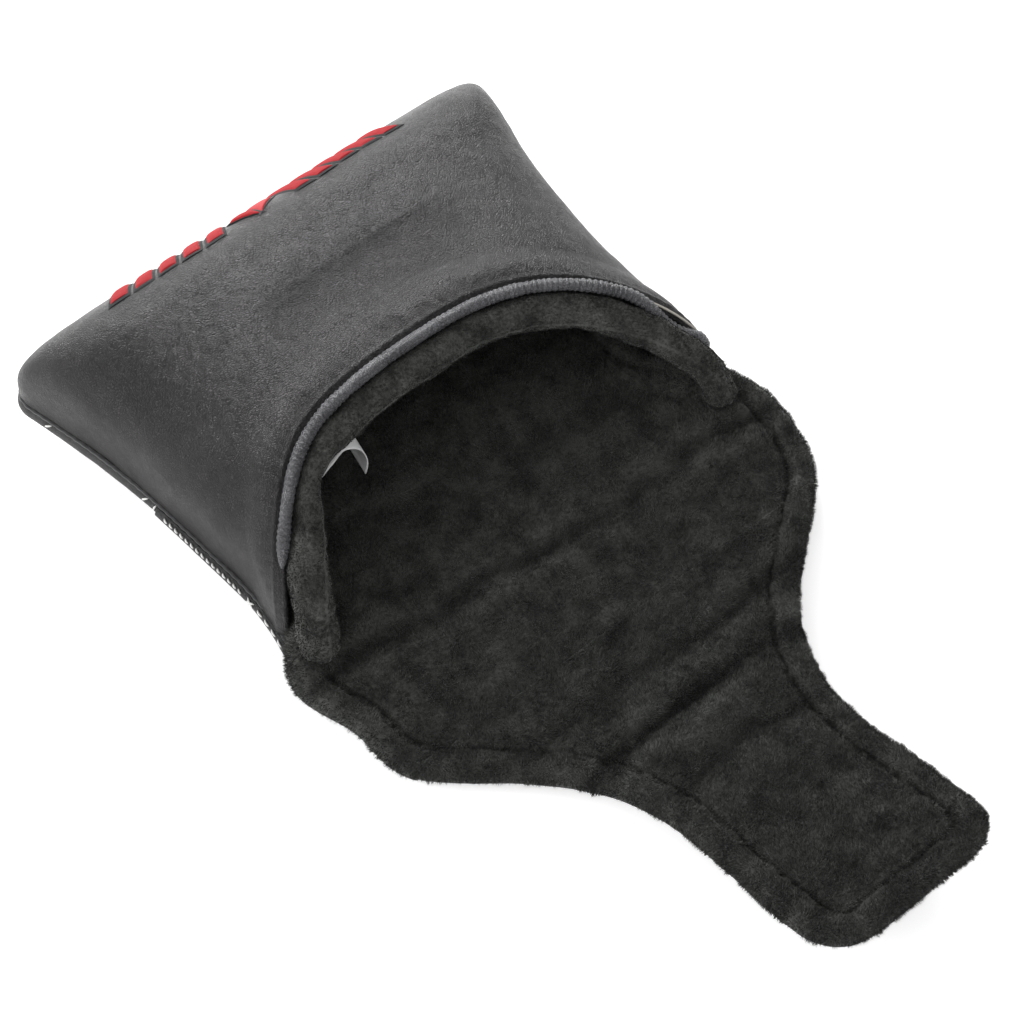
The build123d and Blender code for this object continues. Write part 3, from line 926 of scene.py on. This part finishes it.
def make_sole_panel(name, start, stop, rows, columns, outset, material):
    """Half of the sole: a thin shell round the underside, up to the side seams."""
    angles = math.pi + math.pi * (0.5 - 0.5 * np.cos(np.linspace(0, math.pi, columns)))[None, :]
    t = np.linspace(0, 1, rows)[:, None]
    if stop > depth - 1:
        share = 0.7  # of the rows before the panel turns up round the closed end
        straight = stop - sole_round
        turn = np.clip((t - share) / (1 - share), 0, 1) * math.radians(89)
        y = np.where(t < share, start + (straight - start) * t / share, straight + sole_round * np.sin(turn))
    else:
        y = start + (stop - start) * t
    grid = bottom_point(np.broadcast_to(angles, (rows, columns)), np.broadcast_to(y, (rows, columns)), outset)
    normals = grid_normals(grid)
    if normals[rows // 3, columns // 2, 2] > 0:
        normals = -normals
    ripple = 0.15 * layered_noise(grid, 14.0, 95) * smooth(grid[..., 2] / 3.0)
    outer = grid + normals * ripple[..., None]
    outer[..., 2] = np.maximum(outer[..., 2], 0.0)
    return flip_outward(sheet(name, outer, outer - normals * 0.9, material))


def wall_point(y, share, out, left=True):
    """A point on the sole's side wall, at a share of the way from the seam down."""
    turn = math.asin(share ** (1 / wall_power))
    angle = math.pi + turn if left else 2 * math.pi - turn
    return bottom_point(np.array(angle), np.array(float(y)), out)


front_end = 53.5  # the front panel overlaps the rear one up to here
front_out = 0.7  # and lies this far outside it


def make_stitches():
    """Contrast stitches in the side wall, with a crossed pair where a seam ends."""
    row = [((y, 0.10), (y + 1.25, 0.045)) for y in 22.5 + 1.9 * np.arange(15)]
    cross = [((18.0, 0.03), (20.4, 0.16)), ((18.0, 0.16), (20.4, 0.03))]
    long_row = [((y, 0.08), (y + 2.1, 0.06)) for y in 5.0 + 3.1 * np.arange(4)]
    single = [((57.2, 0.02), (58.6, 0.16)), ((54.4, 0.02), (54.6, 0.18)), ((87.0, 0.03), (88.4, 0.13))]
    spans = [(*span, left) for left in (True, False) for span in row + cross + long_row + single]
    all_points, all_faces = [], []
    for (y0, share0), (y1, share1), left in spans:
        out = front_out + 0.15 if y0 < front_end else 0.12
        a, b = wall_point(y0, share0, out, left), wall_point(y1, share1, out, left)
        t = np.linspace(0, 1, 7)[:, None]
        path = a + (b - a) * t
        arch = np.sin(math.pi * t)
        path[:, 0] += (-1 if left else 1) * 0.22 * arch[:, 0]
        path[:, 2] += 0.12 * arch[:, 0]
        points, faces = tube(path, 0.1 + 0.17 * np.sqrt(arch), 8, None)
        base = sum(len(p) for p in all_points)
        all_points.append(points.reshape(-1, 3))
        all_faces += [tuple(i + base for i in f) for f in faces]
    stitches = new_object("contrast_stitches", np.concatenate(all_points), all_faces, white_thread_look)
    return flip_outward(stitches)


def make_seam_welt():
    """The seam where the top meets the sole, a thin turned edge."""
    straight = depth - plan_corner
    corner = straight + plan_corner * np.sin(np.linspace(0.05, 1.5, 24))
    y = np.concatenate([np.linspace(1.0, straight, 200), corner])
    left = bottom_point(np.full_like(y, math.pi), y, 0.1)
    right = bottom_point(np.full_like(y, 2 * math.pi), y, 0.1)
    path = np.concatenate([left, right[::-1]])
    run = np.cumsum(np.linalg.norm(np.gradient(path, axis=0), axis=1))
    radii = (0.55 + 0.08 * np.sin(run * 2.4))[:, None]
    points, faces = tube(path, radii, 10, None)
    return flip_outward(new_object("side_seam_welt", points, faces, dark_thread_look))


# ---------------------------------------------------------------- emblem and label

emblem_shift = -4.0
emblem_turn = math.radians(39)  # how far round the closed end the emblem's middle is
millimetres_per_turn = 28.0  # along the crest's curve, for one radian of it


def crest_point(across, up, lift):
    """A point over the closed end's crest: across to the left, up towards the top, lift off the leather."""
    x = emblem_shift - np.asarray(across, float)

    def surface(x, turn):
        y = depth - end_round + end_round * np.sin(turn)
        width = half_width(y) - plan_corner * (1 - fall(y, depth - plan_corner, plan_corner))
        power = mouth_power + (end_power - mouth_power) * y / depth
        angle = np.arccos(np.sign(x) * np.abs(x / width) ** (power / 2))
        return top_point(angle, y)

    turn = emblem_turn - up / millimetres_per_turn
    p = surface(x, turn)
    du = surface(x, turn + 0.01) - p
    dv = surface(x + 0.1, turn) - p
    n = np.cross(dv, du)
    n /= np.linalg.norm(n, axis=-1, keepdims=True)
    n = np.where(n[..., 2:] < 0, -n, n)
    dent = 0.40 * layered_noise(p, 26.0, 11) + 0.12 * layered_noise(p, 9.0, 21)
    dent *= smooth((depth - p[..., 1]) / 10.0)
    return p + n * (dent + lift)[..., None]


def satin_patch(corners, height, across_count, along_count):
    """A four-sided patch of satin stitches: rounded across, ridged by its threads."""
    a, b, c, d = [np.array(q, float) for q in corners]
    u = np.linspace(0, 1, across_count)[None, :, None]
    v = np.linspace(0, 1, along_count)[:, None, None]
    flat = (a * (1 - u) + b * u) * (1 - v) + (d * (1 - u) + c * u) * v
    round_across = np.clip(1 - np.abs(2 * u[..., 0] - 1) ** 3, 0, 1)
    round_along = np.clip(1 - np.abs(2 * v[..., 0] - 1) ** 24, 0, 1)
    rise = height * (round_across * round_along) ** 0.5
    length = np.linalg.norm(d - a)
    rise = rise + 0.07 * np.sin(2 * math.pi * v[..., 0] * length / 0.62) * (rise > 0.1)
    top = crest_point(flat[..., 0], flat[..., 1], rise)
    base = crest_point(flat[..., 0], flat[..., 1], np.full(flat.shape[:2], -0.35))
    return top, base


def emblem_shapes():
    """Corners of a diamond, split in two, and of slanted bars either side of it."""
    wide, tall, bar_half, pitch = 6.5, 7, 2.6, 6.9
    left = [(-wide, 0), (0, -tall), (0, tall), (-wide, 0.01)]
    shapes = [left, [(0, -tall), (wide, 0), (wide, 0.01), (0, tall)]]
    for i in range(1, 6):
        high = 6.2 - 0.25 * i
        for side in (-1, 1):
            low, top = side * (1.9 + pitch * i), side * (6.3 + pitch * i)
            bottom = [(low - bar_half, -high), (low + bar_half, -high)]
            shapes.append(bottom + [(top + bar_half, high), (top - bar_half, high)])
    return shapes


def grown(shape, rim):
    """The same corners, moved outward from the shape's middle."""
    q = np.array(shape, float)
    middle = q.mean(0)
    low, high = q.min(0), q.max(0)
    scale = (high - low + 2 * rim) / np.maximum(high - low, 0.1)
    return (q - middle) * scale + middle


def make_embroidery(name, shapes, height, material, counts):
    points, faces = [], []
    for shape in shapes:
        top, base = satin_patch(shape, height, *counts)
        patch_points, patch_faces = shell(top, base, sum(len(p) for p in points))
        points.append(patch_points)
        faces += patch_faces
    return flip_outward(new_object(name, np.concatenate(points), faces, material))


def make_label():
    """A blank white ribbon that curls out from behind the collar roll."""
    curl_x = np.array([-33.8, -31.9, -29.8, -27.3, -24.8, -22.6, -21.0, -20.6, -21.4])
    curl_z = np.array([24.2, 25.8, 27.2, 29.0, 27.8, 25.3, 21.2, 16.9, 13.7])
    knots = np.arange(len(curl_x), dtype=float)
    t = np.linspace(0, knots[-1], 60)
    x, z = cubic_through(knots, curl_x)(t), cubic_through(knots, curl_z)(t)
    v = np.linspace(0, 1, 14)[None, :]
    front, wide = 26.5, 6.5
    y = np.broadcast_to(front + wide * v, (len(t), v.shape[1]))
    grid = np.stack([x[:, None] + 0.6 * v, y, z[:, None] + 2.6 * v], axis=-1)
    grid[..., 2] += 0.15 * np.sin(3 * v + 0.2 * t[:, None])
    normals = grid_normals(grid)
    return flip_outward(sheet("care_ribbon", grid + 0.16 * normals, grid - 0.16 * normals, ribbon_look))


# ---------------------------------------------------------------- build


def finish_piece(obj, body, slot, *nodes):
    """Puts a piece on its body and hides the CAD nodes it stands in for; `slot` is not used."""
    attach(obj, body)
    if nodes:
        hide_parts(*nodes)


def bend_piece(obj, fold, slot, *nodes):
    """Bakes a piece's placement into its mesh and hides the CAD nodes it stands in for; `fold` and `slot` are
    not used.
    """
    if nodes:
        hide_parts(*nodes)
    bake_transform(obj)


def build_pouch():
    hidden = "top_leather", "top_foam", "emblem_backing", "top_magnet_pocket"
    finish_piece(make_top(), "pouch", "black_leather", *hidden)
    finish_piece(make_binding(), "pouch", "black_leather", "mouth_piping", "piping_cord")
    finish_piece(make_cut_edge(), "pouch", "black_leather")
    roll, roll_grid = make_roll()
    finish_piece(roll, "pouch", "black_fleece", "collar_roll", "collar_core")
    # The collar's pile is coloured 1.35 times as light as the flap's: painted light on the roll.
    finish_piece(pile("collar_pile", roll_grid, 70000, 1.3, 301, 1.35), "pouch", "black_fleece")
    inside, outside = top_grid(90, 150, 5.0)[0], top_grid(90, 150, 2.2)[0]
    lining = flip_outward(sheet("pouch_lining", inside, outside, fleece_look))
    tip_tone_and_painted_light(lining, 0.35)
    finish_piece(lining, "pouch", "black_fleece", "top_lining")


def build_sole():
    rear = make_sole_panel("sole_rear_panel", 50.0, depth, 110, 160, 0.0, sole_leather_look)
    finish_piece(rear, "pouch", "black_leather", "sole_rear_leather", "sole_foam")
    front = make_sole_panel("sole_front_panel", 4.0, front_end, 90, 160, front_out, sole_leather_look)
    finish_piece(front, "pouch", "black_leather", "sole_front_leather")
    finish_piece(make_seam_welt(), "pouch", "black_thread", "side_seam_thread")
    finish_piece(make_stitches(), "pouch", "white_thread", "sole_stitching")


def build_emblem():
    shapes = emblem_shapes()
    fill = make_embroidery("embroidered_bars", shapes, 0.75, red_thread_look, (13, 140))
    finish_piece(fill, "pouch", "red_thread", "emblem_fill")
    wider = [grown(q, 1.1) for q in shapes]
    outline = make_embroidery("embroidered_outline", wider, 0.34, outline_thread_look, (17, 150))
    finish_piece(outline, "pouch", "black_thread", "emblem_outline")
    finish_piece(make_label(), "pouch", "white_ribbon", "care_label")


def build_lining():
    inner, inner_top = lining_piece("floor_and_flap_lining", -(depth - 9.0), split_at, 262, 182)
    hidden = "floor_lining", "corner_rolls", "flap_lining", "flap_border_roll", "flap_channel_stitching"
    bend_piece(inner, FIRST_FOLD, "black_fleece", *hidden)
    outer, outer_top = lining_piece("flap_and_tongue_lining", split_at, flap_length, 240, 180)
    hidden = "tongue_lining", "tongue_border_roll", "tongue_channel_stitching"
    bend_piece(outer, SECOND_FOLD, "black_fleece", *hidden)
    bend_piece(pile("floor_pile", inner_top, 190000, 1.25, 302), FIRST_FOLD, "black_fleece")
    bend_piece(pile("tongue_pile", outer_top, 150000, 1.25, 303), SECOND_FOLD, "black_fleece")


def build_flap_layers():
    inner = flap_leather("sole_and_flap_leather", -7.0, split_at, 120, 160)
    bend_piece(inner, FIRST_FOLD, "black_leather", "flap_leather", "flap_foam")
    outer = flap_leather("tongue_leather_back", split_at, flap_length, 160, 160)
    hidden = "tongue_leather", "tongue_foam", "tongue_magnet_pocket"
    bend_piece(outer, SECOND_FOLD, "black_leather", *hidden)


def paint_magnets():
    for name in ("top_magnets", "tongue_magnets"):
        materials = frame["nodes"][name].data.materials
        materials.clear()
        materials.append(magnet_look)


# ---------------------------------------------------------------- studio


def build_studio():
    """A pale floor just under the cover, an even white sky, and two soft lights."""
    mesh = bpy.data.meshes.new("floor")
    wide = 6.0
    corners = [(-wide, -wide, 0), (wide, -wide, 0), (wide, wide, 0), (-wide, wide, 0)]
    mesh.from_pydata(corners, [], [(0, 1, 2, 3)])
    floor = bpy.data.objects.new("floor", mesh)
    floor.location.z = -0.0004  # clear of the cover's own underside
    bpy.context.scene.collection.objects.link(floor)
    material, tree, shader = nodes_of("pale_floor")
    set_inputs(shader, {"Base Color": (0.9, 0.9, 0.9, 1), "Roughness": 0.9})
    set_inputs(shader, {"Emission Color": (1, 1, 1, 1), "Emission Strength": 0.4})
    mesh.materials.append(material)
    world = bpy.data.worlds.new("studio")
    world.use_nodes = True
    set_inputs(world.node_tree.nodes["Background"], {"Color": (1, 1, 1, 1), "Strength": 0.85})
    bpy.context.scene.world = world
    bpy.context.scene.view_settings.view_transform = "Standard"
    area("key", (0.40, 1.15, 0.31), 0.8, 30)
    area("fill", (-1.0, 0.35, 0.5), 0.9, 12)


def area(name, place, size, power):
    """A square soft light that faces the cover."""
    light = bpy.data.lights.new(name, "AREA")
    light.size = size
    light.energy = power
    obj = bpy.data.objects.new(name, light)
    obj.location = place
    obj.rotation_euler = (Vector((0, 0, 0)) - Vector(place)).to_track_quat("-Z", "Y").to_euler()
    bpy.context.scene.collection.objects.link(obj)


def build_camera():
    """The camera looks down at the cover from its front left."""
    azimuth, elevation, distance = math.radians(-39.3), math.radians(58.0), 0.7
    target = Vector((0.00035, -0.0021, 0.010))
    level = math.cos(elevation)
    back = Vector((math.sin(azimuth) * level, -math.cos(azimuth) * level, math.sin(elevation)))
    camera = bpy.data.cameras.new("camera")
    camera.sensor_width = 36.0
    camera.lens = 103.2
    obj = bpy.data.objects.new("camera", camera)
    obj.location = target + back * distance
    obj.rotation_euler = (-back).to_track_quat("-Z", "Y").to_euler()
    bpy.context.scene.collection.objects.link(obj)
    bpy.context.scene.camera = obj


build_pouch()
build_sole()
build_emblem()
build_lining()
build_flap_layers()
paint_magnets()
build_studio()
build_camera()
